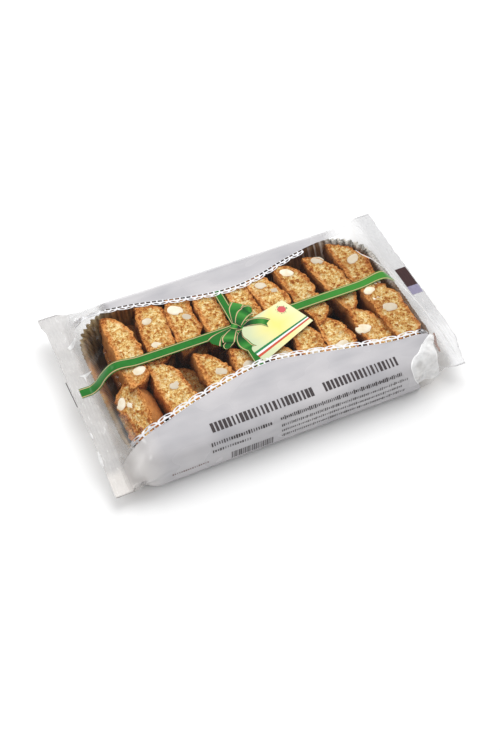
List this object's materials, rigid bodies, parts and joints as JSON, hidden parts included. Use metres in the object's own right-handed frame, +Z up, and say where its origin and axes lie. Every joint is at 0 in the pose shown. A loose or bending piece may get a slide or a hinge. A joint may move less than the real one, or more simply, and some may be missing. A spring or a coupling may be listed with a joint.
{
  "type": "tray pack of almond biscotti",
  "caption": "Sealed clear film pack round a pleated gold tray of almond biscotti, with white lace-edged print, a printed green ribbon and bow, and a crimped seal at each end.",
  "frame": {"origin": "middle of the pack's outline, on the surface that it lies on", "axes": "+X along the pack from seal to seal, +Y towards its back edge, +Z up"},
  "size_m": [0.2626, 0.1516, 0.0371],
  "materials": {
    "clear_film": "thin clear packing film with soft highlights",
    "white_print": "white ink on film, glossy",
    "colour_print": "green, cream and dark ink on film, glossy",
    "tray_foil": "board pressed into pleats and faced with gold foil, mirror-like",
    "biscuit": "open dry crumb with browned crust",
    "almond": "cut almond, smooth and dull"
  },
  "bodies": {
    "root": {"film_bag": "clear_film"}
  },
  "joints": []
}
